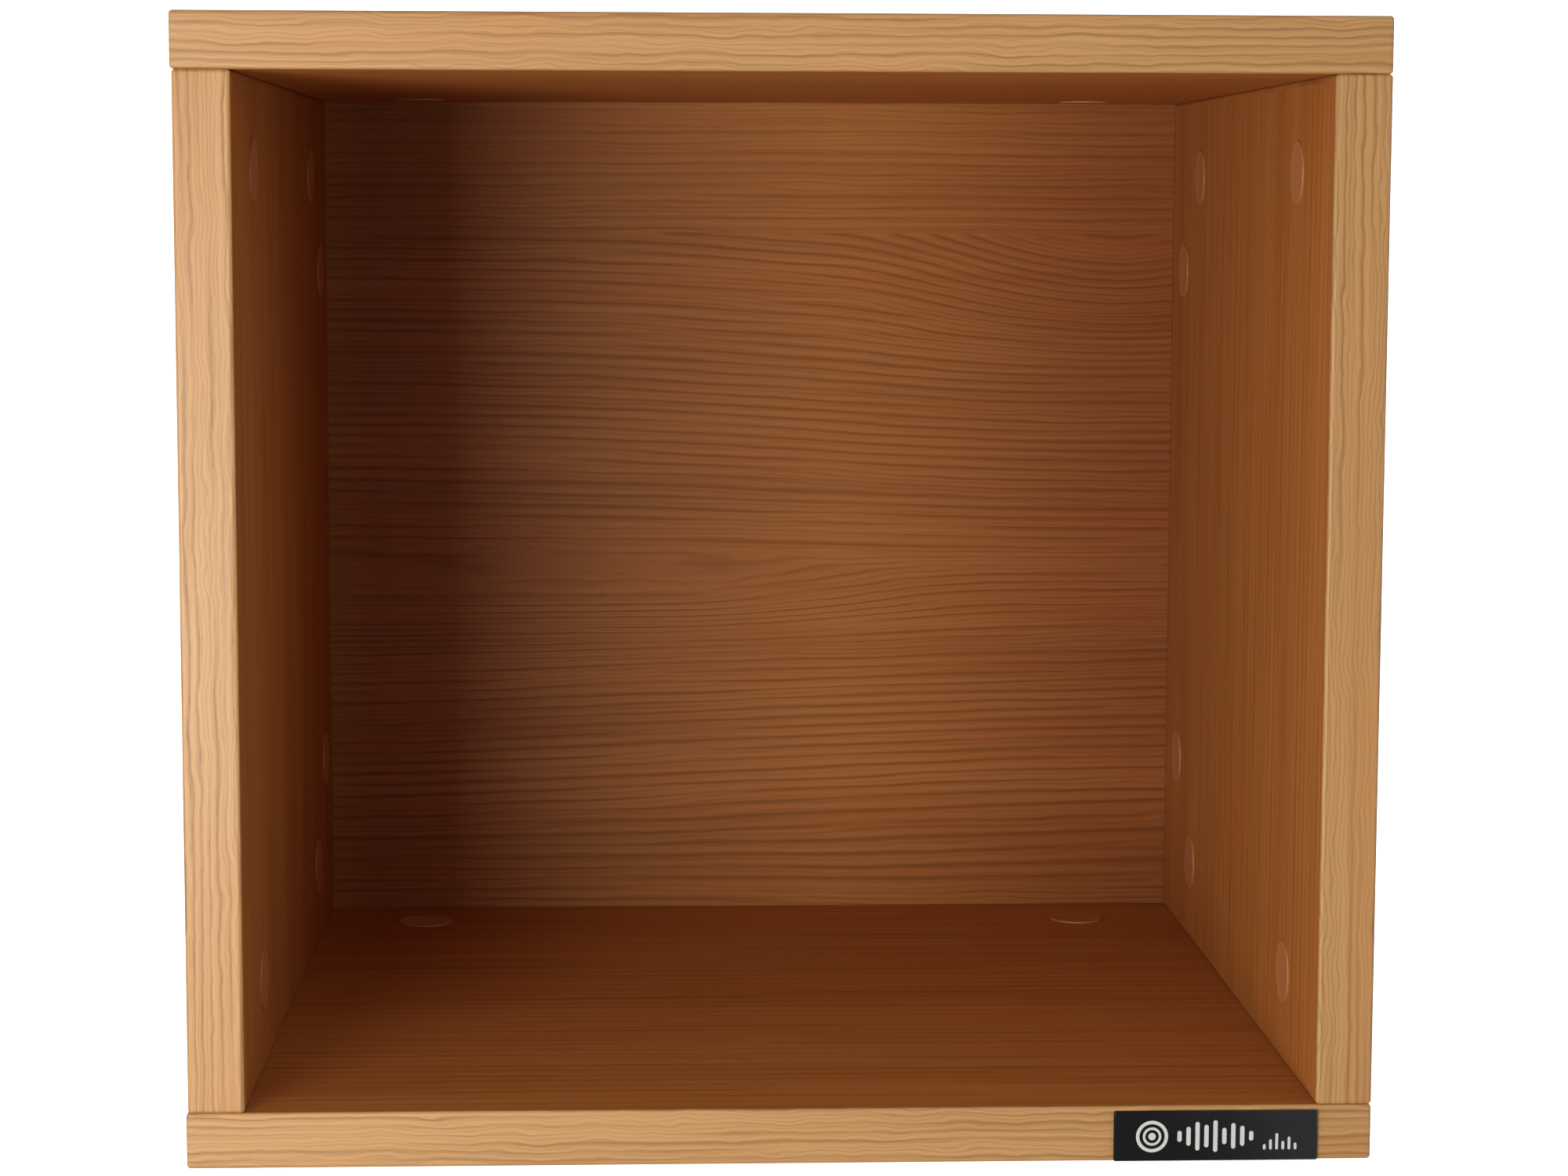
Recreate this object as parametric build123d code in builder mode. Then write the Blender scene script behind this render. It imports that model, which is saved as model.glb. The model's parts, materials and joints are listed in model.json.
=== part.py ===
"""Open-fronted storage cube for 12-inch record sleeves.

Five boards of one thickness, banded on every edge: the top and base run the full width, the two
sides stand between them, and the back covers the rear edges of all four. Cam locks in the boards'
inner faces draw in the heads of cam bolts screwed into the neighbouring board, and dowels keep
each joint in line. Round caps cover the cam locks.

Origin: bottom centre of the boards. +X is to the right seen from the open front, which faces -Y.
"""

import os
from collections import namedtuple
from math import acos, degrees, sqrt

from build123d import *

os.makedirs("parts", exist_ok=True)

# The cube, outside
width = 380.0
height = 365.0
depth = 345.0
board = 18.0
left_reveal = 0.6  # the top and base reach this far past the left side panel
band = 2.0  # edge band thickness
arris = 1.2  # rounding along every banded edge

# Where the fittings sit
cam_setback = 30.0  # from a cam lock's axis to the joint it closes
side_cams_from_front = (61.0, 260.0)
back_cam_rise = 98.0  # the side panels' rear cam locks, above and below half height
back_cam_spread = 132.0  # the top's and base's rear cam locks, left and right of the middle
dowel_step = 32.0  # from a cam lock to the dowel beside it, towards the board's middle

# Cam lock
cam_bore_radius = 7.5
cam_bore_depth = 13.5
cam_radius = 7.42
cam_sunk = 0.3  # below the board's face
cam_height = 12.9
cam_chamfer = 0.3
cam_throw = 1.0  # how far the lips that hold the ball are off centre
cam_unlock_angle = 190.0
pocket_gap = 0.1  # from the bolt's ball to the lips when locked, and to the pocket's wall
pocket_headroom = 0.2
slot_gap = 0.3
entry_gap = 0.4
cross_length = 7.6
cross_width = 1.4
cross_depth = 2.4
arrow_radius = 1.1
arrow_depth = 0.3
arrow_from_axis = 5.4

# Cam bolt
ball_radius = 3.5
neck_radius = 2.3
neck_end = 8.5
shank_radius = 3.4
shank_taper = 0.6
collar_radius = 3.75
collar_length = 1.5
thread_root_radius = 2.2
thread_crest_radius = 2.95
thread_pitch = 2.2
thread_turns = 5
thread_hole_radius = 3.0
thread_hole_depth = 12.0
passage_radius = 4.0
drive_length = 3.6
drive_width = 0.9
drive_depth = 1.2

# Dowel
dowel_radius = 4.0
dowel_in_edge = 18.0
dowel_in_face = 12.0
dowel_side_gap = 0.05
dowel_end_gap = 0.5
dowel_chamfer = 0.8
flute_radius = 0.35
flute_count = 10

# Cover cap
cap_radius = 10.6
cap_thickness = 0.5
cap_round = 0.2

# Badge on the base's front edge
badge_length = 66.0
badge_height = 16.4
badge_thickness = 1.3
badge_corner = 0.7
badge_round = 0.5
badge_right_end = 172.5
badge_middle_height = 8.35

# Planes that the boards share
front = -depth / 2
rear = depth / 2
carcass_rear = rear - board
left = -width / 2
right = width / 2
underside = height - board  # of the top panel
middle_height = height / 2
half_board = board / 2
left_inner = left + left_reveal + board
right_inner = right - board

PLUS_X, PLUS_Y, PLUS_Z = Vector(1, 0, 0), Vector(0, 1, 0), Vector(0, 0, 1)
MINUS_X, MINUS_Y, MINUS_Z = -PLUS_X, -PLUS_Y, -PLUS_Z

# A hole starts at its mouth and runs into the board. A fitting has its cam lock in a board's face,
# which looks along face, and its bolt runs from there towards the joint with the next board.
Hole = namedtuple("Hole", "mouth into radius depth")
Fitting = namedtuple("Fitting", "name place face towards")


def save(builder, name):
    """Label a finished piece and write it under its name."""
    builder.part.label = name
    export_step(builder.part, f"parts/{name}.step")


def save_group(name, piece, planes):
    """Write copies of one piece, one on each plane, as a group of separate solids."""
    with BuildPart() as copies:
        with Locations(*[Location(plane) for plane in planes]):
            add(piece.part)
    save(copies, name)


# Fittings


def side_fittings(inner_x, face):
    """A side panel's fittings: two for the top joint, two for the base joint, two for the back."""
    ends = {"top": (underside - cam_setback, PLUS_Z), "base": (board + cam_setback, MINUS_Z)}
    made = []
    for end, (cam_z, towards) in ends.items():
        for row, from_front in zip(("front", "rear"), side_cams_from_front):
            place = Vector(inner_x, front + from_front, cam_z)
            made.append(Fitting(f"{end}_{row}", place, face, towards))
    for level, rise in (("upper", back_cam_rise), ("lower", -back_cam_rise)):
        place = Vector(inner_x, carcass_rear - cam_setback, middle_height + rise)
        made.append(Fitting(f"back_{level}", place, face, PLUS_Y))
    return made


def flat_fittings(inner_z, face):
    """The top's or base's fittings: two for the back."""
    made = []
    for side, x in (("left", -back_cam_spread), ("right", back_cam_spread)):
        place = Vector(x, carcass_rear - cam_setback, inner_z)
        made.append(Fitting(f"back_{side}", place, face, PLUS_Y))
    return made


fittings = {
    "left_side_panel": side_fittings(left_inner, PLUS_X),
    "right_side_panel": side_fittings(right_inner, MINUS_X),
    "top_panel": flat_fittings(underside, MINUS_Z),
    "base_panel": flat_fittings(board, PLUS_Z),
}


def bolts_running(towards):
    """The fittings whose bolts run one way: up into the top, down into the base or to the back."""
    return [fitting for held in fittings.values() for fitting in held if fitting.towards == towards]


def ball_centre(fitting):
    """The point at mid thickness where the cam lock's axis meets the bolt's."""
    return fitting.place - fitting.face * half_board


def joint_point(fitting):
    """The point where a bolt crosses from one board into the next."""
    return ball_centre(fitting) + fitting.towards * cam_setback


def face_plane(fitting):
    """The plane of a cam lock's mouth, its X pointing towards the joint."""
    return Plane(origin=fitting.place, x_dir=fitting.towards, z_dir=fitting.face)


def bolt_plane(fitting):
    """The plane across a bolt's ball, its Z pointing towards the joint."""
    return Plane(origin=ball_centre(fitting), z_dir=fitting.towards)


# Dowels, each one step from a cam bolt

side_middles = (left_inner - half_board, right_inner + half_board)
side_dowels_from_front = (side_cams_from_front[0] + dowel_step, side_cams_from_front[1] - dowel_step)
dowel_rise = back_cam_rise - dowel_step
dowel_spread = back_cam_spread - dowel_step


def upright_dowels(x, z):
    """Where the dowels between one side panel and the top or base cross the joint."""
    return [Vector(x, front + from_front, z) for from_front in side_dowels_from_front]


def side_back_dowels(x):
    """Where the dowels between one side panel and the back cross the joint."""
    return [Vector(x, carcass_rear, middle_height + rise) for rise in (-dowel_rise, dowel_rise)]


def flat_back_dowels(z):
    """Where the dowels between the top or base and the back cross the joint."""
    return [Vector(x, carcass_rear, z) for x in (-dowel_spread, dowel_spread)]


top_dowels = [place for x in side_middles for place in upright_dowels(x, underside)]
base_dowels = [place for x in side_middles for place in upright_dowels(x, board)]
back_dowels = [place for x in side_middles for place in side_back_dowels(x)]
back_dowels += flat_back_dowels(half_board) + flat_back_dowels(height - half_board)


# Holes


def cam_holes(owner):
    """The bores and bolt passages of the fittings whose cam locks a board holds."""
    holes = []
    for fitting in fittings[owner]:
        holes.append(Hole(fitting.place, -fitting.face, cam_bore_radius, cam_bore_depth))
        holes.append(Hole(joint_point(fitting), -fitting.towards, passage_radius, cam_setback))
    return holes


def thread_holes(into):
    """The holes in a board's face that its cam bolts are screwed into."""
    return [
        Hole(joint_point(fitting), into, thread_hole_radius, thread_hole_depth)
        for fitting in bolts_running(into)
    ]


def dowel_holes(places, into, length):
    """The holes for the part of some dowels that lies one way from the joint."""
    radius = dowel_radius + dowel_side_gap
    return [Hole(place, into, radius, length + dowel_end_gap) for place in places]


def drill(hole):
    """Cut one round hole from the piece being built."""
    with BuildSketch(Plane(origin=hole.mouth, z_dir=hole.into)) as mouth:
        Circle(hole.radius)
    extrude(mouth.sketch, amount=hole.depth, mode=Mode.SUBTRACT)


# Boards and their edge bands


def along(direction):
    """The positive axis that a direction lies on."""
    return Vector(*map(abs, direction))


def block(low, high):
    """Add a square-edged block between two corners."""
    with Locations((low + high) * 0.5):
        Box(*(high - low))


def edge_band(name, low, high, out, rounded, holes):
    """Write the band on one edge of a board: the layer of its block that faces out.

    Every edge that the board doesn't meet is rounded, or only the outer ones along an axis.
    """
    axis = along(out)
    below = axis * ((high - low).dot(axis) - band)
    faces_up = out.dot(axis) > 0
    with BuildPart() as strip:
        block(low + below if faces_up else low, high if faces_up else high - below)
        inner, *_, outer = strip.faces().sort_by(Axis((0, 0, 0), out))
        free = outer.edges().filter_by(rounded) if rounded else strip.edges() - inner.edges()
        fillet(free, radius=arris)
        for hole in holes:
            if hole.into == -out:
                drill(hole)
    save(strip, name)


def banded_board(name, low, high, long_bands, short_bands, holes):
    """Write a board and its four edge bands, drilled with the holes that reach them.

    Each band is named for its place and given the direction it faces. The long bands run the
    full length of their edges, and the short ones end against them.
    """
    long_out = tuple(long_bands.values())[0]
    long_inset = along(long_out) * band
    short_inset = along(tuple(short_bands.values())[0]) * band
    with BuildPart() as core:
        block(low + long_inset + short_inset, high - long_inset - short_inset)
        for hole in holes:
            drill(hole)
    save(core, name)
    for place, out in long_bands.items():
        edge_band(f"{name}_{place}_band", low, high, out, None, holes)
    for place, out in short_bands.items():
        ends = low + long_inset, high - long_inset
        edge_band(f"{name}_{place}_band", *ends, out, Axis((0, 0, 0), long_out), holes)


front_and_rear = {"front": MINUS_Y, "rear": PLUS_Y}
left_and_right = {"left": MINUS_X, "right": PLUS_X}
upper_and_lower = {"upper": PLUS_Z, "lower": MINUS_Z}

banded_board(
    "top_panel",
    Vector(left, front, underside),
    Vector(right, carcass_rear, height),
    front_and_rear,
    left_and_right,
    cam_holes("top_panel")
    + thread_holes(PLUS_Z)
    + dowel_holes(top_dowels, PLUS_Z, dowel_in_face)
    + dowel_holes(flat_back_dowels(height - half_board), MINUS_Y, dowel_in_edge),
)
banded_board(
    "base_panel",
    Vector(left, front, 0),
    Vector(right, carcass_rear, board),
    front_and_rear,
    left_and_right,
    cam_holes("base_panel")
    + thread_holes(MINUS_Z)
    + dowel_holes(base_dowels, MINUS_Z, dowel_in_face)
    + dowel_holes(flat_back_dowels(half_board), MINUS_Y, dowel_in_edge),
)
for side, middle in zip(("left_side_panel", "right_side_panel"), side_middles):
    banded_board(
        side,
        Vector(middle - half_board, front, board),
        Vector(middle + half_board, carcass_rear, underside),
        front_and_rear,
        upper_and_lower,
        cam_holes(side)
        + dowel_holes(upright_dowels(middle, underside), MINUS_Z, dowel_in_edge)
        + dowel_holes(upright_dowels(middle, board), PLUS_Z, dowel_in_edge)
        + dowel_holes(side_back_dowels(middle), MINUS_Y, dowel_in_edge),
    )
banded_board(
    "back_panel",
    Vector(left, carcass_rear, 0),
    Vector(right, rear, height),
    upper_and_lower,
    left_and_right,
    thread_holes(PLUS_Y) + dowel_holes(back_dowels, PLUS_Y, dowel_in_face),
)


# Cam lock: a drum with a pocket for the bolt's ball, a slot around its wall for the neck, and an
# entry for the ball. Lips above and below the slot are set off centre, so that they close on the
# ball as the drum turns. It is drawn locked, with its mouth on the XY plane and the bolt along +X.
# Unlocking turns it counter-clockwise, which brings the entry round to the bolt.

slot_half_width = neck_radius + slot_gap
entry_radius = ball_radius + entry_gap
pocket_radius = ball_radius + pocket_gap
lips_radius = sqrt(pocket_radius**2 - slot_half_width**2) + cam_throw
lips_half_height = ball_radius + pocket_headroom
entry_way = PLUS_X.rotate(Axis.Z, -cam_unlock_angle)

with BuildPart() as cam_lock:
    with BuildSketch(Plane.XY.offset(-cam_sunk)):
        Circle(cam_radius)
    extrude(amount=-cam_height)
    chamfer(cam_lock.faces().sort_by(Axis.Z)[-1].edges(), length=cam_chamfer)
    with BuildSketch(Plane.XY.offset(-half_board - lips_half_height)):
        with Locations((-cam_throw, 0)):
            Circle(lips_radius)
    extrude(amount=2 * lips_half_height, mode=Mode.SUBTRACT)
    with BuildSketch(Plane.XY.offset(-half_board - slot_half_width)):
        Circle(pocket_radius)
        with BuildLine():
            sweep_round = CenterArc((0, 0), 2 * cam_radius, -cam_unlock_angle, cam_unlock_angle)
            Line((0, 0), sweep_round @ 0)
            Line(sweep_round @ 1, (0, 0))
        make_face()
        with Locations((cam_radius, 0)):
            Rectangle(2 * cam_radius, 2 * slot_half_width)
    extrude(amount=2 * slot_half_width, mode=Mode.SUBTRACT)
    with BuildSketch(Plane((0, 0, -half_board), z_dir=entry_way)):
        Circle(entry_radius)
    extrude(amount=2 * cam_radius, mode=Mode.SUBTRACT)
    with BuildSketch(Plane.XY.offset(-cam_sunk)):
        Rectangle(cross_length, cross_width)
        Rectangle(cross_width, cross_length)
    extrude(amount=-cross_depth, mode=Mode.SUBTRACT)
    with BuildSketch(Plane.XY.offset(-cam_sunk)):
        with PolarLocations(arrow_from_axis, 1, start_angle=-cam_unlock_angle):
            RegularPolygon(arrow_radius, 3)
    extrude(amount=-arrow_depth, mode=Mode.SUBTRACT)

for owner, held in fittings.items():
    for fitting in held:
        with BuildPart() as placed_cam:
            with Locations(Location(face_plane(fitting))):
                add(cam_lock.part)
        save(placed_cam, f"{owner}_cam_{fitting.name}")


# Cam bolt: ball, neck, shank, collar and coarse thread, turned about +Z with the ball's centre
# at the origin and the collar's face on the joint

ball_to_neck = sqrt(ball_radius**2 - neck_radius**2)
ball_arc = 90 + degrees(acos(neck_radius / ball_radius))
collar_start = cam_setback - collar_length

with BuildPart() as cam_bolt:
    with BuildSketch(Plane.XZ):
        with BuildLine():
            CenterArc((0, 0), ball_radius, -90, ball_arc)
            outline = [
                (neck_radius, ball_to_neck),
                (neck_radius, neck_end),
                (shank_radius, neck_end + shank_taper),
                (shank_radius, collar_start),
                (collar_radius, collar_start),
                (collar_radius, cam_setback),
                (thread_root_radius, cam_setback),
            ]
            for turn in range(thread_turns):
                crest = cam_setback + (turn + 0.5) * thread_pitch
                outline.append((thread_crest_radius, crest))
                outline.append((thread_root_radius, crest + thread_pitch / 2))
            outline.append((0, cam_setback + thread_turns * thread_pitch))
            outline.append((0, -ball_radius))
            Polyline(*outline)
        make_face()
    revolve(axis=Axis.Z)
    with BuildSketch(Plane.XY.offset(-ball_radius)):
        Rectangle(drive_length, drive_width)
        Rectangle(drive_width, drive_length)
    extrude(amount=drive_depth, mode=Mode.SUBTRACT)

save_group("top_panel_cam_bolts", cam_bolt, [bolt_plane(f) for f in bolts_running(PLUS_Z)])
save_group("base_panel_cam_bolts", cam_bolt, [bolt_plane(f) for f in bolts_running(MINUS_Z)])
save_group("back_panel_cam_bolts", cam_bolt, [bolt_plane(f) for f in bolts_running(PLUS_Y)])


# Dowel: fluted beech, its longer part in a board's edge, and the joint on the XY plane

with BuildPart() as dowel:
    with BuildSketch(Plane.XY.offset(-dowel_in_edge)):
        Circle(dowel_radius)
    extrude(amount=dowel_in_edge + dowel_in_face)
    chamfer(dowel.edges().filter_by(GeomType.CIRCLE), length=dowel_chamfer)
    with BuildSketch(Plane.XY.offset(-dowel_in_edge)):
        with PolarLocations(dowel_radius, flute_count):
            Circle(flute_radius)
    extrude(amount=dowel_in_edge + dowel_in_face, mode=Mode.SUBTRACT)

save_group("top_joint_dowels", dowel, [Plane(place, z_dir=PLUS_Z) for place in top_dowels])
save_group("base_joint_dowels", dowel, [Plane(place, z_dir=MINUS_Z) for place in base_dowels])
save_group("back_joint_dowels", dowel, [Plane(place, z_dir=PLUS_Y) for place in back_dowels])


# Cover cap: a thin disc stuck on a board's face over a cam lock

with BuildPart() as cover_cap:
    with BuildSketch():
        Circle(cap_radius)
    extrude(amount=cap_thickness)
    fillet(cover_cap.faces().sort_by(Axis.Z)[-1].edges(), radius=cap_round)

for owner, held in fittings.items():
    save_group(f"{owner}_cover_caps", cover_cap, [face_plane(fitting) for fitting in held])


# Badge: a domed label stuck on the base's front edge

with BuildPart() as badge:
    badge_middle = badge_right_end - badge_length / 2
    with BuildSketch(Plane((badge_middle, front, badge_middle_height), x_dir=PLUS_X, z_dir=MINUS_Y)):
        RectangleRounded(badge_length, badge_height, badge_corner)
    extrude(amount=badge_thickness)
    fillet(badge.faces().sort_by(Axis.Y)[0].edges(), radius=badge_round)
save(badge, "badge")
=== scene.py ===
"""Finishes, cover caps, badge and studio for a flat-pack cube storage unit, around its CAD boards."""
import json
from dataclasses import dataclass
from math import cos, pi, radians, sin

import bpy
from mathutils import Matrix, Vector


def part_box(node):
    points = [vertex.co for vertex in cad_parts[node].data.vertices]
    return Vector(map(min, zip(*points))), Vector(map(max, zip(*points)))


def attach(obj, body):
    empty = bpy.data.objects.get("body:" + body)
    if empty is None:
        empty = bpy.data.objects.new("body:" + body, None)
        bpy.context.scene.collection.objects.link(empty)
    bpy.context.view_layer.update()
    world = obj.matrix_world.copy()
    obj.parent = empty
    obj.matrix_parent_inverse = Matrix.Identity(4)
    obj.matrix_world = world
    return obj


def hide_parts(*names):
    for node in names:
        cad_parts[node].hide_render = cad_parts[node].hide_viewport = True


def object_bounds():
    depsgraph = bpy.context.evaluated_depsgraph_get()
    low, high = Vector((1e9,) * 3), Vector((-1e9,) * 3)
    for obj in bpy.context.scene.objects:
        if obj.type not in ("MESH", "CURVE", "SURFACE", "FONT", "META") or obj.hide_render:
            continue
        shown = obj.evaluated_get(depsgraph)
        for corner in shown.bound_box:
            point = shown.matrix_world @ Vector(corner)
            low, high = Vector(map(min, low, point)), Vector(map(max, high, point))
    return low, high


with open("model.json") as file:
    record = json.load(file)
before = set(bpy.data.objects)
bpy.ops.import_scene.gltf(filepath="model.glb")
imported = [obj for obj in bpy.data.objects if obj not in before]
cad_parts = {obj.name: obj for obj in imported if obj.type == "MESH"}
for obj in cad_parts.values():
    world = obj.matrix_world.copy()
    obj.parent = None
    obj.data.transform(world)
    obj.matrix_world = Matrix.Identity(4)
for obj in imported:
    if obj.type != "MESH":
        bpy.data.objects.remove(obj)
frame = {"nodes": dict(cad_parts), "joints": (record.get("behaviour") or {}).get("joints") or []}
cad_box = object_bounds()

bl_info = {
    "name": "Cube storage unit",
    "version": (1, 0, 0),
    "blender": (4, 5, 0),
    "location": "3D View > Sidebar > Cube unit",
    "description": "Oak finishes, cover caps, badge and studio for a flat-pack cube storage unit",
    "category": "Object",
}

BOARDS = {
    "top_panel": "XZ",
    "base_panel": "XZ",
    "left_side_panel": "ZX",
    "right_side_panel": "ZX",
    "back_panel": "XY",
}  # the grain's direction, then the direction through the board
CABINET = "cabinet"

# The back's figure: heights above the base's underside
SEAM = 0.295
FLAME_FOOT = 0.120
FLAME_MIDDLE = 0.146
FLAME_TOP = 0.170

# The badge's mark: bars in millimetres, and their places from the badge's left-hand end
RECORD_PLACE = 0.0123
RECORD_RINGS = ((0.0052, 0.0041), (0.0030, 0.0022), (0.0012, 0.0))  # outer and inner radius
TALL_BARS = (3.6, 6.2, 9.4, 7.4, 10.4, 5.4, 8.4, 6.6, 3.2)
TALL_BARS_PLACE, TALL_BAR_PITCH, TALL_BAR_WIDTH = 0.0212, 0.0029, 0.0014
SHORT_BARS = (1.8, 3.4, 5.4, 2.8, 4.2, 2.2)
SHORT_BARS_PLACE, SHORT_BAR_PITCH, SHORT_BAR_WIDTH = 0.0487, 0.0020, 0.0009
SHORT_BARS_FOOT = 0.0046  # below the badge's middle
MILLIMETRE = 0.001

# The studio: each soft light's name, place, aim, size, power and colour
NEUTRAL = (1.0, 1.0, 1.0)
SOFT_LIGHTS = (
    ("key_light", (-0.48, -1.02, 0.10), (0.0, -0.05, 0.18), (0.38, 0.45), 8.5, (1.0, 0.955, 0.90)),
    ("left_light", (-1.1, -0.55, 0.2), (0.0, -0.17, 0.18), (0.5, 0.9), 1.8, NEUTRAL),
    ("right_light", (1.1, -0.55, 0.2), (0.0, -0.17, 0.18), (0.5, 0.9), 1.8, NEUTRAL),
    ("top_light", (0.1, -1.1, 1.5), (0.0, -0.1, 0.1), (1.4, 1.0), 1.0, NEUTRAL),
)
AIR_COLOUR, AIR_STRENGTH = (1.0, 0.99, 1.0, 1.0), 0.437
PAPER_GLOW = 1.05
PAPER_RADIUS, PAPER_RISE, PAPER_TURN, PAPER_GAP = 6.0, 7.0, 0.7, 0.0004

# The camera: where it stands from the middle of the unit's front, and how it is turned
CAMERA_SIDE, CAMERA_BACK, CAMERA_HEIGHT = -0.04623, 1.08353, 0.30495
CAMERA_YAW, CAMERA_PITCH, CAMERA_ROLL = -0.04252, -0.10931, -0.00285
CAMERA_LENS, CAMERA_SENSOR, CAMERA_NEAR = 79.53, 36.0, 0.01


def length(name, description, default):
    return bpy.props.FloatProperty(
        name=name, description=description, default=default, unit="LENGTH", precision=5
    )


def colour(name, description, default):
    return bpy.props.FloatVectorProperty(
        name=name, description=description, default=default, subtype="COLOR", size=3, min=0, max=1
    )


def group_size(node):
    low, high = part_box(node)
    return high - low


class CubeUnitSizes(bpy.types.PropertyGroup):
    """Sizes that a maker may want to change."""

    cap_radius: length(
        "Cap radius", "Outer radius of a cover cap", group_size("top_panel_cover_caps").y / 2
    )
    cap_thickness: length(
        "Cap thickness",
        "How far a cover cap stands off its board",
        group_size("top_panel_cover_caps").z,
    )
    cap_dish: length("Cap dish", "How far a cap's middle sinks behind its rim", 0.00012)
    badge_corner: length("Badge corner", "Radius of the badge's corners", 0.0006)
    badge_crown: length("Badge crown", "How far the badge's middle stands before its edge", 0.00055)
    mark_thickness: length("Mark thickness", "Thickness of the print on the badge", 0.00005)
    back_ring: length("Back ring", "Distance between growth rings on the back panel", 0.0043)
    board_ring: length("Board ring", "Distance between growth rings on the other boards", 0.0072)
    band_ring: length("Band ring", "Distance between growth rings on the edge bands", 0.0028)


class CubeUnitColours(bpy.types.PropertyGroup):
    """Colours that a maker may want to change."""

    oak_light: colour("Light oak", "Early wood of the boards and bands", (0.495, 0.270, 0.098))
    oak_dark: colour("Dark oak", "Late wood of the boards and bands", (0.300, 0.145, 0.042))
    oak_red: colour("Red oak", "Warm flecks in the wood", (0.485, 0.232, 0.075))
    # The three tones below are partly a deeper veneer and partly painted shade, where the inside of the
    # box lies in shade.
    wall_tone_and_shade: colour("Wall tone", "What darkens the side panels inside", (0.87, 0.60, 0.40))
    flat_tone_and_shade: colour("Flat tone", "What darkens the top and base inside", (1.0, 0.68, 0.45))
    back_tone_and_shade: colour("Back tone", "What darkens the back panel inside", (0.86, 0.62, 0.41))
    # Painted shade: the left rear tone paints the shadow in the left rear of the inside, and the right
    # end tone paints shade at the back's right-hand end.
    left_rear_painted_shade: colour("Left rear", "What darkens the left rear of the inside", (0.74, 0.54, 0.66))
    right_end_painted_shade: colour("Right end", "What darkens the back's right-hand end", (0.72, 0.60, 0.56))
    # The cap film's tone matches the deepened inner veneer, so it is partly the film's own colour and
    # partly painted shade.
    cap_tone: colour("Cap", "Printed film on the cover caps", (0.46, 0.192, 0.064))
    badge_black: colour("Badge", "Gloss body of the badge", (0.006, 0.0062, 0.0075))
    badge_mark: colour("Badge mark", "Pale print on the badge", (0.62, 0.63, 0.60))
    studio_white: colour("Studio", "Floor and backdrop", (1.0, 1.0, 1.0))


# ---------------------------------------------------------------- shader maths


class Amount:
    """A shader socket, on which Python's operators add Math nodes."""

    def __init__(self, finish, socket):
        self.finish = finish
        self.socket = socket

    def maths(self, operation, *values):
        return self.finish.node("ShaderNodeMath", {"operation": operation}, dict(enumerate(values)))

    def __add__(self, other):
        return self.maths("ADD", self, other)

    __radd__ = __add__

    def __sub__(self, other):
        return self.maths("SUBTRACT", self, other)

    def __rsub__(self, other):
        return self.maths("SUBTRACT", other, self)

    def __mul__(self, other):
        return self.maths("MULTIPLY", self, other)

    def __truediv__(self, other):
        return self.maths("DIVIDE", self, other)

    def fraction(self):
        return self.maths("FRACT", self)

    def whole(self):
        return self.maths("FLOOR", self)

    def rise(self, start, end):
        """0 up to start, 1 from end on, and smooth between."""
        settings = {"interpolation_type": "SMOOTHSTEP"}
        return self.finish.node("ShaderNodeMapRange", settings, {0: self, 1: start, 2: end})


class Finish:
    """A material in the making."""

    def __init__(self, name):
        self.material = bpy.data.materials.new(name)
        self.material.use_nodes = True
        self.tree = self.material.node_tree
        self.tree.nodes.clear()

    def node(self, kind, settings=None, inputs=None, output=0):
        """Adds a node: its settings are set first, then its sockets get values or links."""
        node = self.tree.nodes.new(kind)
        for name, value in (settings or {}).items():
            setattr(node, name, value)
        for key, value in (inputs or {}).items():
            if isinstance(value, Amount):
                self.tree.links.new(value.socket, node.inputs[key])
            else:
                node.inputs[key].default_value = value
        return Amount(self, node.outputs[output])

    def place(self):
        """The point's x, y and z in the object's own frame, by letter."""
        point = self.node("ShaderNodeTexCoord", output="Object")
        return {c: self.node("ShaderNodeSeparateXYZ", None, {0: point}, c) for c in "XYZ"}

    def vector(self, x, y, z):
        return self.node("ShaderNodeCombineXYZ", None, {0: x, 1: y, 2: z})

    def noise(self, vector, detail=2.0, roughness=0.5):
        inputs = {"Vector": vector, "Scale": 1.0, "Detail": detail, "Roughness": roughness}
        return self.node("ShaderNodeTexNoise", None, inputs)

    def mix(self, share, first, second, blend="MIX"):
        """A colour between two, by share. Socket 0 is the factor, 6 and 7 the two colours."""
        settings = {"data_type": "RGBA", "blend_type": blend}
        return self.node("ShaderNodeMix", settings, {0: share, 6: shade(first), 7: shade(second)}, 2)

    def darken(self, share, tone, by):
        """A colour multiplied by another, by share."""
        return self.mix(share, tone, by, "MULTIPLY")

    def surface(self, **sockets):
        """Ends the material in a Principled shader, with the sockets named."""
        inputs = {name.replace("_", " "): value for name, value in sockets.items()}
        shader = self.node("ShaderNodeBsdfPrincipled", None, inputs)
        output = self.tree.nodes.new("ShaderNodeOutputMaterial")
        self.tree.links.new(shader.socket, output.inputs[0])
        return self.material

    def bump(self, height, distance, strength=1.0):
        inputs = {"Height": height, "Distance": distance, "Strength": strength}
        return self.node("ShaderNodeBump", None, inputs)


def shade(value):
    """A colour as a socket takes it: a link stays, and three numbers get an alpha."""
    return value if isinstance(value, Amount) else (*value[:3], 1.0)


@dataclass
class Veneer:
    """How one kind of board shows its grain."""

    ring: float  # distance between growth rings
    line: float = 0.60  # where in a ring its dark line starts
    sway: float = 1.2  # slow drift of the rings
    waver: float = 0.4  # quick drift of the rings
    wobble: float = 9.0  # how short the quick drift is
    contrast: float = 0.5  # depth of the dark lines
    fine: float = 0.25  # depth of the thin lines between them
    streaks: float = 0.9
    patches: float = 0.6  # depth of the warm flecks
    clouds: float = 0.5  # broad darker and paler stretches
    roughness: float = 0.5
    specular: float = 0.2


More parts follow.
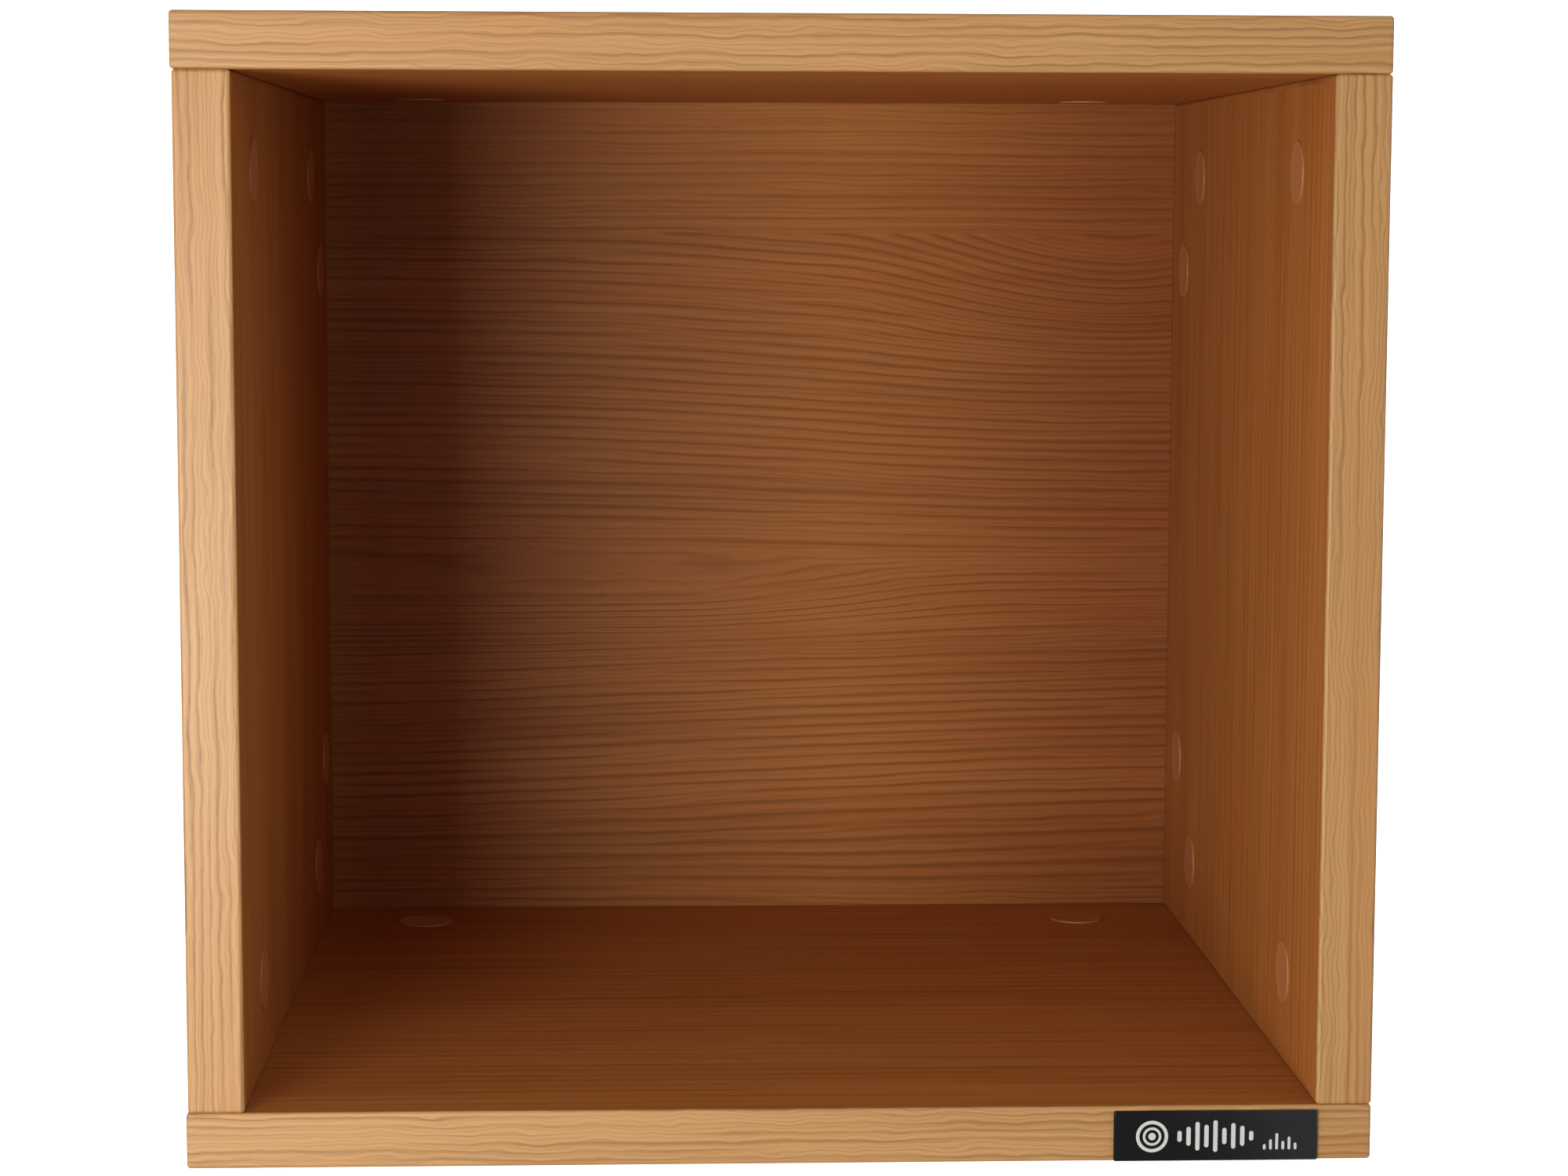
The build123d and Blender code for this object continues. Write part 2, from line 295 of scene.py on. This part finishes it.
def oak(name, along, across, through, veneer, seed, tones, inside=None, figure=None):
    """Oak veneer: growth rings across the board, swaying along it, with fibres, pores and warm flecks."""
    light, dark, red = tones
    finish = Finish(name)
    at = finish.place()
    run, side, deep = at[along], at[across], at[through] * 0.6 + seed
    drift = finish.noise(finish.vector(run * 2.2, side * 9.0, deep * 9.0), 1.0, 0.4)
    wobble = finish.noise(finish.vector(run * veneer.wobble, side * 90.0, deep * 40.0), 2.0, 0.55)
    rings = side / veneer.ring + drift * veneer.sway + wobble * veneer.waver + seed * 3.7
    strength = veneer.contrast
    if figure:
        shift, calm = figure(run, side)
        rings = rings + shift
        strength = (1 - calm) * veneer.contrast
    year = finish.noise(finish.vector(rings.whole() * 3.31, run * 9.0, deep * 2.0), 1.0)
    late = ring_line(rings, (0.5 - year) * 0.4 + veneer.line, 0.88)
    late = late * (year * 3.6 - 1.1).rise(0.0, 1.0)
    between = ring_line(rings * 2.0 + wobble * 1.6, 0.45, 0.85)
    between = between * (1.5 - year * 1.6)
    streak = finish.noise(finish.vector(run * 6.0, side * 380.0, deep * 260.0), 3.0, 0.62)
    fibre = finish.noise(finish.vector(run * 45.0, side * 2300.0, deep * 1500.0), 2.0)
    pores = finish.noise(finish.vector(run * 140.0, side * 3400.0, deep * 2500.0), 1.0)
    pores = pores.rise(0.58, 0.72) * (0.35 + late)
    grain = late * strength + between * veneer.fine + (streak - 0.5) * veneer.streaks
    patch = finish.noise(finish.vector(run * 4.0, side * 64.0, deep * 20.0), 2.0)
    cloud = finish.noise(finish.vector(run * 2.5, side * 34.0, deep * 30.0), 2.0)
    grain = grain + (fibre - 0.5) * 0.30 + pores * 0.22 + (cloud - 0.5) * veneer.clouds
    warm = finish.mix(patch.rise(0.40, 0.70) * veneer.patches, light, red)
    tone = finish.mix((grain + 0.12).rise(-0.25, 1.15), warm, dark)
    # On inner faces, painted shade deepens the veneer's tone.
    if inside:
        tone = inside.deepen(finish, at, tone)
    height = (fibre - 0.5) * 0.4 - pores * 0.8 - late * 0.35
    return finish.surface(
        Base_Color=tone,
        Roughness=veneer.roughness + (streak - 0.5) * 0.12 + pores * 0.12,
        Specular_IOR_Level=veneer.specular,
        Normal=finish.bump(height, 0.00005, 0.6),
    )


def ring_line(rings, start, peak):
    """A growth ring's dark line: it deepens slowly and ends sharply."""
    phase = rings.fraction()
    return phase.rise(start, peak) * (1 - phase.rise(peak, 1.0))


def back_figure(run, side):
    """How far the back's rings are shifted, and where they are calm.

    Below a straight seam near the top the rings sink to the right and level out at the end.
    Halfway down, a long pale flame lies over a few crowded rings and points to the right,
    and the rings under it climb a little to the right.
    """
    above_seam = side.rise(SEAM - 0.0004, SEAM + 0.0004)
    sinking = run.rise(-0.10, 0.16) * side.rise(0.05, 0.29) * 2.6
    bowl = run.rise(0.03, 0.152) - run.rise(0.148, 0.20) * 0.3
    swirl = bowl * side.rise(0.225, 0.296) * 5.0
    climbing = run.rise(-0.18, 0.18) * side.rise(0.02, 0.07) * (1 - side.rise(0.125, 0.165)) * 2.4
    flame_end = 1 - run.rise(-0.03, 0.11)
    swelling = side.rise(FLAME_FOOT, FLAME_MIDDLE)
    flame = swelling * (1 - side.rise(FLAME_MIDDLE, FLAME_TOP)) * flame_end
    heart = side.rise(0.142, 0.150) * (1 - side.rise(0.160, FLAME_TOP)) * flame_end
    calm = above_seam * 0.45 + heart * 0.85
    return (sinking + swirl) * (1 - above_seam) - climbing + flame * 3.6, calm


class Inside:
    """Where a piece faces into the box. Its veneer is deeper in tone there, partly as veneer and partly
    as painted shade.
    """

    def __init__(self, board, through, tones, behind_arris=False):
        axis = "XYZ".index(through)
        low, high = (corner[axis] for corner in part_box(board))
        middle = (cad_box[0][axis] + cad_box[1][axis]) / 2
        outer, inner = (low, high) if (low + high) / 2 < middle else (high, low)
        self.through = through
        self.start, self.end = (outer + (inner - outer) * part for part in (0.90, 0.97))
        self.tones = tones
        self.behind_arris = behind_arris

    def share(self, at):
        """0 on the outer face and 1 on the inner one."""
        place, start, end = at[self.through], self.start, self.end
        share = place.rise(start, end) if start < end else 1 - place.rise(end, start)
        if self.behind_arris:
            share = share * at["Y"].rise(cad_front() + 0.0009, cad_front() + 0.0013)
        return share

    def deepen(self, finish, at, tone):
        deeper_tone_and_shade, left_rear_painted_shade, right_end_painted_shade = self.tones
        share = self.share(at)
        left, right = cad_box[0][0], cad_box[1][0]
        x, y = at["X"], at["Y"]
        corner = x.rise(left, left + 0.04) * (1 - x.rise(left + 0.04, left + 0.15)) * y.rise(-0.12, 0.13)
        end = x.rise(right - 0.15, right - 0.02) * y.rise(0.150, 0.154)
        # The inner faces take a deeper tone: partly veneer, partly painted shade.
        tone = finish.darken(share, tone, deeper_tone_and_shade)
        # Painted shadow in the left rear of the inside.
        tone = finish.darken(share * corner, tone, left_rear_painted_shade)
        # Painted shade at the back panel's right-hand end.
        return finish.darken(share * end, tone, right_end_painted_shade)


def zinc(tone):
    """Die-cast zinc, dull, with a soft cast skin."""
    finish = Finish("cam_zinc")
    at = finish.place()
    skin = finish.noise(finish.vector(at["X"] * 900, at["Y"] * 900, at["Z"] * 900), 3.0)
    cloud = finish.noise(finish.vector(at["X"] * 160, at["Y"] * 160, at["Z"] * 160), 2.0)
    return finish.surface(
        Base_Color=finish.mix(cloud.rise(0.3, 0.7) * 0.5, tone, [c * 0.72 for c in tone]),
        Metallic=1.0,
        Roughness=0.36 + skin * 0.16,
        Normal=finish.bump(skin, 0.00006, 0.5),
    )


def plated_steel(tone):
    """Zinc-plated steel, brighter and smoother, with turning marks along its length."""
    finish = Finish("bolt_steel")
    at = finish.place()
    turned = finish.noise(finish.vector(at["X"] * 1200, at["Y"] * 1200, at["Z"] * 1200), 2.0)
    bloom = finish.noise(finish.vector(at["X"] * 90, at["Y"] * 90, at["Z"] * 90), 1.0)
    return finish.surface(
        Base_Color=finish.mix(bloom.rise(0.35, 0.7) * 0.4, tone, (0.60, 0.55, 0.42)),
        Metallic=1.0,
        Roughness=0.22 + turned * 0.12,
        Normal=finish.bump(turned, 0.00003, 0.4),
    )


def gloss_black(tone, low, high):
    """Gloss lacquer with the faintest orange peel, which lies thicker towards the right-hand end."""
    finish = Finish("badge_black")
    at = finish.place()
    peel = finish.noise(finish.vector(at["X"] * 420, at["Y"] * 420, at["Z"] * 420), 1.0)
    fleck = finish.noise(finish.vector(at["X"] * 2600, at["Y"] * 2600, at["Z"] * 2600), 1.0)
    cloud = finish.noise(finish.vector(at["X"] * 45, at["Y"] * 45, at["Z"] * 45), 1.0)
    along = at["X"] + at["Z"] * 0.8 + (cloud - 0.5) * 0.03
    lacquer = along.rise(low.x + (high.x - low.x) * 0.35, high.x + 0.004)
    return finish.surface(
        Base_Color=finish.mix(fleck.rise(0.45, 0.8) * 0.5, tone, [c * 2.2 for c in tone]),
        Specular_IOR_Level=0.16,
        Roughness=0.10 + peel * 0.05,
        Coat_Weight=lacquer * 0.8,
        Coat_Roughness=0.06,
        Normal=finish.bump(peel, 0.00002, 0.25),
    )


def pale_print(tone):
    """Screen-printed ink with a little silver in it."""
    finish = Finish("badge_mark")
    at = finish.place()
    grit = finish.noise(finish.vector(at["X"] * 5200, at["Y"] * 5200, at["Z"] * 5200), 2.0)
    return finish.surface(
        Base_Color=finish.mix(grit.rise(0.35, 0.75) * 0.35, tone, [c * 0.72 for c in tone]),
        Metallic=0.15,
        Roughness=0.34 + grit * 0.14,
        Normal=finish.bump(grit, 0.00001, 0.5),
    )


def paper_white(tone, strength):
    """Seamless studio paper that glows just enough to have no shade on it."""
    finish = Finish("studio_paper")
    at = finish.place()
    weave = finish.noise(finish.vector(at["X"] * 300, at["Y"] * 300, at["Z"] * 300), 2.0)
    return finish.surface(
        Base_Color=(*tone, 1.0),
        Roughness=0.9 + weave * 0.05,
        Emission_Color=(*tone, 1.0),
        Emission_Strength=strength,
    )


# ------------------------------------------------------------------ modelling


def select_only(*objects):
    bpy.ops.object.select_all(action="DESELECT")
    for one in objects:
        one.select_set(True)
    bpy.context.view_layer.objects.active = objects[0]


def pick(piece, kind, wanted):
    """Selects only the wanted faces or edges, outside edit mode, and enters it again."""
    bpy.ops.mesh.select_all(action="DESELECT")
    bpy.ops.mesh.select_mode(type={"polygons": "FACE", "edges": "EDGE"}[kind])
    bpy.ops.object.mode_set(mode="OBJECT")
    for part in getattr(piece.data, kind):
        part.select = wanted(part)
    bpy.ops.object.mode_set(mode="EDIT")


def begin(name):
    """Names the primitive just added and opens it for editing."""
    piece = bpy.context.object
    piece.name = piece.data.name = name
    select_only(piece)
    bpy.ops.object.mode_set(mode="EDIT")
    return piece


def settle(piece, angle=35):
    """Closes editing: the place goes into the mesh, and broad curves are shaded smooth."""
    bpy.ops.object.mode_set(mode="OBJECT")
    select_only(piece)
    bpy.ops.object.transform_apply(location=True, rotation=True, scale=True)
    bpy.ops.object.shade_smooth_by_angle(angle=radians(angle))
    return piece


def clothe(piece, *materials):
    piece.data.materials.clear()
    for material in materials:
        piece.data.materials.append(material)


def ends(piece, edge):
    return [piece.data.vertices[i].co for i in edge.vertices]


def runs_back(piece, edge):
    """Whether an edge runs from the front to the back."""
    start, end = ends(piece, edge)
    return abs(start.y - end.y) > 1e-6


# ------------------------------------------------------------------ operators


class CUBE_OT_board_finishes(bpy.types.Operator):
    """Gives the five boards and their edge bands an oak veneer, its grain along each piece"""

    bl_idname = "cube_unit.board_finishes"
    bl_label = "Board and band finishes"

    def execute(self, context):
        sizes = context.scene.cube_unit_sizes
        colours = context.scene.cube_unit_colours
        tones = oak_tones(context)
        back_veneer = Veneer(
            sizes.back_ring, line=0.56, sway=2.4, waver=0.6, wobble=14.0, contrast=1.0, fine=0.55,
            patches=0.9, clouds=0.9,
        )
        board_veneer = Veneer(sizes.board_ring, contrast=0.5, streaks=1.6, patches=0.9, clouds=0.9)
        band_veneer = Veneer(
            sizes.band_ring, line=0.48, sway=1.6, waver=1.5, wobble=42.0, contrast=0.85,
            fine=0.5, patches=0.8, roughness=0.42, specular=0.5,
        )
        for number, (board, (along, through)) in enumerate(BOARDS.items()):
            (across,) = set("XYZ") - {along, through}
            back = board == "back_panel"
            # Inner faces get painted shade over their veneer.
            inside = Inside(board, through, inner_tones_and_shade(colours, through))
            clothe(frame["nodes"][board], oak(
                f"oak_{board}", along, across, through, back_veneer if back else board_veneer,
                1.7 + number * 2.3, tones, inside, back_figure if back else None,
            ))
        for number, node in enumerate(sorted(n for n in frame["nodes"] if n.endswith("_band"))):
            size = group_size(node)
            thin, middle, long = sorted("XYZ", key=lambda c: size["XYZ".index(c)])
            board, edge = node.removesuffix("_band").rsplit("_", 1)
            inside = None
            if board != "back_panel" and edge not in ("left", "right"):
                through = BOARDS[board][1]
                # The inner strips of the front and rear bands get the same painted shade.
                inside = Inside(node, through, inner_tones_and_shade(colours, through), edge == "front")
            seed = 0.9 + number * 1.37
            finish = oak(f"oak_{node}", long, middle, thin, band_veneer, seed, tones, inside)
            clothe(frame["nodes"][node], finish)
        return {"FINISHED"}


def inner_tones_and_shade(colours, through):
    """The painted shade that deepens an inner face: its own tone and shade, then the painted shade of the
    left rear and of the back's right-hand end.
    """
    own = {"X": colours.wall_tone_and_shade, "Y": colours.back_tone_and_shade, "Z": colours.flat_tone_and_shade}[through]
    return tuple(own), tuple(colours.left_rear_painted_shade), tuple(colours.right_end_painted_shade)


def oak_tones(context):
    colours = context.scene.cube_unit_colours
    return tuple(colours.oak_light), tuple(colours.oak_dark), tuple(colours.oak_red)


class CUBE_OT_fitting_finishes(bpy.types.Operator):
    """Gives the cam locks, cam bolts and dowels their metal and beech"""

    bl_idname = "cube_unit.fitting_finishes"
    bl_label = "Fitting finishes"

    def execute(self, context):
        cast = zinc((0.58, 0.58, 0.56))
        steel = plated_steel((0.66, 0.66, 0.68))
        straight = Veneer(0.0016, sway=0.6, waver=0.2, wobble=20.0, fine=0.1, roughness=0.55)
        beech_tones = ((0.70, 0.50, 0.31), (0.52, 0.33, 0.18), (0.66, 0.42, 0.25))
        for name, node in frame["nodes"].items():
            if name.endswith("_dowels"):
                along = "Y" if name.startswith("back") else "Z"
                across, through = sorted(set("XYZ") - {along})
                beech = oak(f"beech_{name}", along, across, through, straight, 5.1, beech_tones)
                clothe(node, beech)
            elif name.endswith("_bolts"):
                clothe(node, steel)
            elif "_cam_" in name:
                clothe(node, cast)
        return {"FINISHED"}


class CUBE_OT_cover_caps(bpy.types.Operator):
    """Models one thin round cover cap and lays a copy over each cam lock"""

    bl_idname = "cube_unit.cover_caps"
    bl_label = "Cover caps"

    def execute(self, context):
        sizes = context.scene.cube_unit_sizes
        colours = context.scene.cube_unit_colours
        model = cap_model(sizes.cap_radius, sizes.cap_thickness, sizes.cap_dish)
        # The caps' film tone carries part of the inside's painted shade.
        tone = tuple(colours.cap_tone)
        tones = (tone, tuple(c * 0.72 for c in tone), (tone[0], tone[1] * 0.8, tone[2] * 0.8))
        film = Veneer(0.0040, contrast=0.3, fine=0.2, roughness=0.42, specular=0.35)
        films = {
            "flat": oak("cap_film_flat", "X", "Y", "Z", film, 4.2, tones),
            "upright": oak("cap_film_upright", "Z", "Y", "X", film, 2.6, tones),
        }
        for joint in frame["joints"]:
            face = Vector(joint["pos_m"])
            out = Vector(joint["axis"])
            board, place = joint["name"].split("_cam_lock_")
            cap = model.copy()
            cap.data = model.data.copy()
            cap.name = cap.data.name = f"{board}_cover_cap_{place.removesuffix('_turn')}"
            context.scene.collection.objects.link(cap)
            cap.matrix_world = Matrix.Translation(face) @ out.to_track_quat("Z", "Y").to_matrix().to_4x4()
            select_only(cap)
            bpy.ops.object.transform_apply(location=True, rotation=True, scale=True)
            clothe(cap, films["flat" if abs(out.z) > 0.5 else "upright"])
            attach(cap, CABINET)
            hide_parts(f"{board}_cover_caps")
        bpy.data.objects.remove(model)
        return {"FINISHED"}


def cap_model(radius, thickness, dish):
    """A disc with a rolled rim and a face that sinks very slightly towards its middle."""
    bpy.ops.mesh.primitive_cylinder_add(
        vertices=72, radius=radius, depth=thickness, location=(0, 0, thickness / 2)
    )
    cap = begin("cap_model")
    pick(cap, "polygons", lambda face: face.normal.z > 0.9)
    for inset, sink in ((0.0011, 0.0), (0.0006, dish * 0.7), (0.0025, dish * 0.3), (0.0035, 0.0)):
        bpy.ops.mesh.inset(thickness=inset, depth=0)
        bpy.ops.transform.translate(value=(0, 0, -sink))
    top = thickness / 2
    pick(cap, "edges", lambda edge: all(
        abs(v.z - top) < 1e-6 and abs(v.xy.length - radius) < 1e-5 for v in ends(cap, edge)
    ))
    bpy.ops.mesh.bevel(offset=thickness * 0.4, segments=4, profile=0.5)
    return settle(cap)


class CUBE_OT_badge(bpy.types.Operator):
    """Models the glossy badge on the base's front edge, with a plain record-and-bars mark"""

    bl_idname = "cube_unit.badge"
    bl_label = "Badge"

    def execute(self, context):
        sizes = context.scene.cube_unit_sizes
        colours = context.scene.cube_unit_colours
        low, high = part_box("badge")
        badge = badge_body(low, high, sizes)
        clothe(badge, gloss_black(tuple(colours.badge_black), low, high))
        ink = pale_print(tuple(colours.badge_mark))
        front = low.y + sizes.mark_thickness
        middle = (low.z + high.z) / 2
        thickness = sizes.mark_thickness
        marks = record_mark(low.x + RECORD_PLACE, middle, front, thickness)
        for number, bar in enumerate(TALL_BARS):
            x = low.x + TALL_BARS_PLACE + number * TALL_BAR_PITCH
            marks.append(bar_mark(x, middle, front, TALL_BAR_WIDTH, bar * MILLIMETRE, thickness))
        for number, bar in enumerate(SHORT_BARS):
            x = low.x + SHORT_BARS_PLACE + number * SHORT_BAR_PITCH
            z = middle - SHORT_BARS_FOOT + bar * MILLIMETRE / 2
            marks.append(bar_mark(x, z, front, SHORT_BAR_WIDTH, bar * MILLIMETRE, thickness))
        for mark in marks:
            clothe(mark, ink)
        select_only(badge, *marks)
        bpy.ops.object.join()
        badge.name = badge.data.name = "badge_plate"
        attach(badge, CABINET)
        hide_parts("badge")
        return {"FINISHED"}


def badge_body(low, high, sizes):
    """A plate with round corners, crowned in a few ever flatter steps."""
    size = high - low
    plate = size.y - sizes.mark_thickness - sizes.badge_crown
    centre = Vector(((low.x + high.x) / 2, high.y - plate / 2, (low.z + high.z) / 2))
    bpy.ops.mesh.primitive_cube_add(size=1, location=centre, scale=(size.x, plate, size.z))
    bpy.ops.object.transform_apply(location=True, rotation=True, scale=True)
    badge = begin("badge_plate")
    pick(badge, "edges", lambda edge: runs_back(badge, edge))
    bpy.ops.mesh.bevel(offset=sizes.badge_corner, segments=6, profile=0.5)
    pick(badge, "polygons", lambda face: face.normal.y < -0.9)
    steps = 7
    reach = 0.0028
    for step in range(steps):
        start, end = (pi / 2 * s / steps for s in (step, step + 1))
        rise = sizes.badge_crown * (sin(end) - sin(start))
        bpy.ops.mesh.extrude_region_move(TRANSFORM_OT_translate={"value": (0, -rise, 0)})
        shrink = [
            (across - 2 * reach * (1 - cos(end))) / (across - 2 * reach * (1 - cos(start)))
            for across in (size.x, size.z)
        ]
        bpy.ops.transform.resize(value=(shrink[0], 1, shrink[1]), center_override=centre)
    return settle(badge, 50)


def ring_mark(x, z, front, outer, inner, thickness):
    bpy.ops.mesh.primitive_circle_add(
        vertices=48, radius=outer, fill_type="NGON", location=(x, front, z), rotation=(pi / 2, 0, 0)
    )
    ring = begin("ring_mark")
    bpy.ops.mesh.select_all(action="SELECT")
    if inner:
        bpy.ops.mesh.inset(thickness=outer - inner, depth=0)
        bpy.ops.mesh.delete(type="FACE")
        bpy.ops.mesh.select_all(action="SELECT")
    bpy.ops.mesh.extrude_region_move(TRANSFORM_OT_translate={"value": (0, -thickness, 0)})
    bpy.ops.mesh.select_all(action="SELECT")
    bpy.ops.mesh.normals_make_consistent(inside=False)
    return settle(ring, 30)


def record_mark(x, z, front, thickness):
    """A plain disc of rings: rim, groove and spindle."""
    return [ring_mark(x, z, front, outer, inner, thickness) for outer, inner in RECORD_RINGS]


def bar_mark(x, z, front, width, tall, thickness):
    """One upright bar with round ends."""
    bpy.ops.mesh.primitive_cube_add(
        size=1, location=(x, front - thickness / 2, z), scale=(width, thickness, tall)
    )
    bpy.ops.object.transform_apply(location=True, rotation=True, scale=True)
    bar = begin("bar_mark")
    pick(bar, "edges", lambda edge: runs_back(bar, edge))
    bpy.ops.mesh.bevel(offset=width * 0.49, segments=5, profile=0.5)
    return settle(bar, 30)


class CUBE_OT_studio(bpy.types.Operator):
    """Lays the white floor and backdrop, sets the soft lights and places the camera"""

    bl_idname = "cube_unit.studio"
    bl_label = "Studio"

    def execute(self, context):
        scene = context.scene
        white = tuple(scene.cube_unit_colours.studio_white)
        paper = studio_paper()
        clothe(paper, paper_white(white, PAPER_GLOW))
        # Only the camera sees the paper: it doesn't light the unit, and takes no shadow from it.
        paper.visible_diffuse = False
        paper.visible_glossy = False
        paper.visible_shadow = False
        for light in SOFT_LIGHTS:
            soft_box(*light)
        world = bpy.data.worlds.new("studio_air")
        world.use_nodes = True
        air = world.node_tree.nodes["Background"].inputs
        air["Color"].default_value = AIR_COLOUR
        air["Strength"].default_value = AIR_STRENGTH
        scene.world = world
        scene.view_settings.view_transform = "Standard"
        place_camera(scene)
        return {"FINISHED"}


def studio_paper():
    """A round sheet of floor that turns up at its rim and rises as the backdrop all round."""
    bpy.ops.mesh.primitive_circle_add(
        vertices=96, radius=PAPER_RADIUS, fill_type="NGON", location=(0, 0, -PAPER_GAP)
    )
    paper = begin("studio_paper")
    bpy.ops.mesh.select_all(action="SELECT")
    bpy.ops.mesh.inset(thickness=0.8, depth=0)
    rim = PAPER_RADIUS - 0.1
    pick(paper, "edges", lambda edge: all(v.xy.length > rim for v in ends(paper, edge)))
    bpy.ops.mesh.extrude_region_move(TRANSFORM_OT_translate={"value": (0, 0, PAPER_RISE)})
    pick(paper, "edges", lambda edge: all(
        v.xy.length > rim and v.z < 0.1 for v in ends(paper, edge)
    ))
    bpy.ops.mesh.bevel(offset=PAPER_TURN, segments=8, profile=0.5)
    bpy.ops.mesh.select_all(action="SELECT")
    bpy.ops.mesh.normals_make_consistent(inside=True)
    return settle(paper, 60)


def soft_box(name, place, aim, size, power, tint):
    bpy.ops.object.light_add(type="AREA", location=place)
    lamp = bpy.context.object
    lamp.name = lamp.data.name = name
    lamp.data.shape = "RECTANGLE"
    lamp.data.size, lamp.data.size_y = size
    lamp.data.energy = power
    lamp.data.color = tint
    lamp.rotation_euler = (Vector(aim) - Vector(place)).to_track_quat("-Z", "Y").to_euler()


def place_camera(scene):
    bpy.ops.object.camera_add()
    camera = bpy.context.object
    camera.name = camera.data.name = "camera"
    camera.data.sensor_width = CAMERA_SENSOR
    camera.data.lens = CAMERA_LENS
    camera.data.clip_start = CAMERA_NEAR
    turn = Matrix.Rotation(CAMERA_YAW, 3, "Z") @ Matrix.Rotation(CAMERA_PITCH, 3, "X")
    turn = turn @ Matrix.Rotation(CAMERA_ROLL, 3, "Y") @ Matrix.Rotation(pi / 2, 3, "X")
    place = Vector((CAMERA_SIDE, cad_front() - CAMERA_BACK, CAMERA_HEIGHT))
    camera.matrix_world = Matrix.Translation(place) @ turn.to_4x4()
    scene.camera = camera


def cad_front():
    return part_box("base_panel_front_band")[0].y


class CUBE_PT_maker(bpy.types.Panel):
    """Sizes, colours and making steps of the cube storage unit"""

    bl_label = "Cube storage unit"
    bl_idname = "CUBE_PT_maker"
    bl_space_type = "VIEW_3D"
    bl_region_type = "UI"
    bl_category = "Cube unit"

    def draw(self, context):
        for group in (context.scene.cube_unit_sizes, context.scene.cube_unit_colours):
            for name in type(group).__annotations__:
                self.layout.prop(group, name)
        for step in STEPS:
            self.layout.operator(step.bl_idname)


STEPS = (
    CUBE_OT_board_finishes,
    CUBE_OT_fitting_finishes,
    CUBE_OT_cover_caps,
    CUBE_OT_badge,
    CUBE_OT_studio,
)
CLASSES = (CubeUnitSizes, CubeUnitColours, *STEPS, CUBE_PT_maker)


def register():
    for each in CLASSES:
        bpy.utils.register_class(each)
    bpy.types.Scene.cube_unit_sizes = bpy.props.PointerProperty(type=CubeUnitSizes)
    bpy.types.Scene.cube_unit_colours = bpy.props.PointerProperty(type=CubeUnitColours)


def unregister():
    del bpy.types.Scene.cube_unit_colours
    del bpy.types.Scene.cube_unit_sizes
    for each in reversed(CLASSES):
        bpy.utils.unregister_class(each)


def main():
    register()
    bpy.ops.cube_unit.board_finishes()
    bpy.ops.cube_unit.fitting_finishes()
    bpy.ops.cube_unit.cover_caps()
    bpy.ops.cube_unit.badge()
    bpy.ops.cube_unit.studio()


if __name__ == "__main__":
    main()
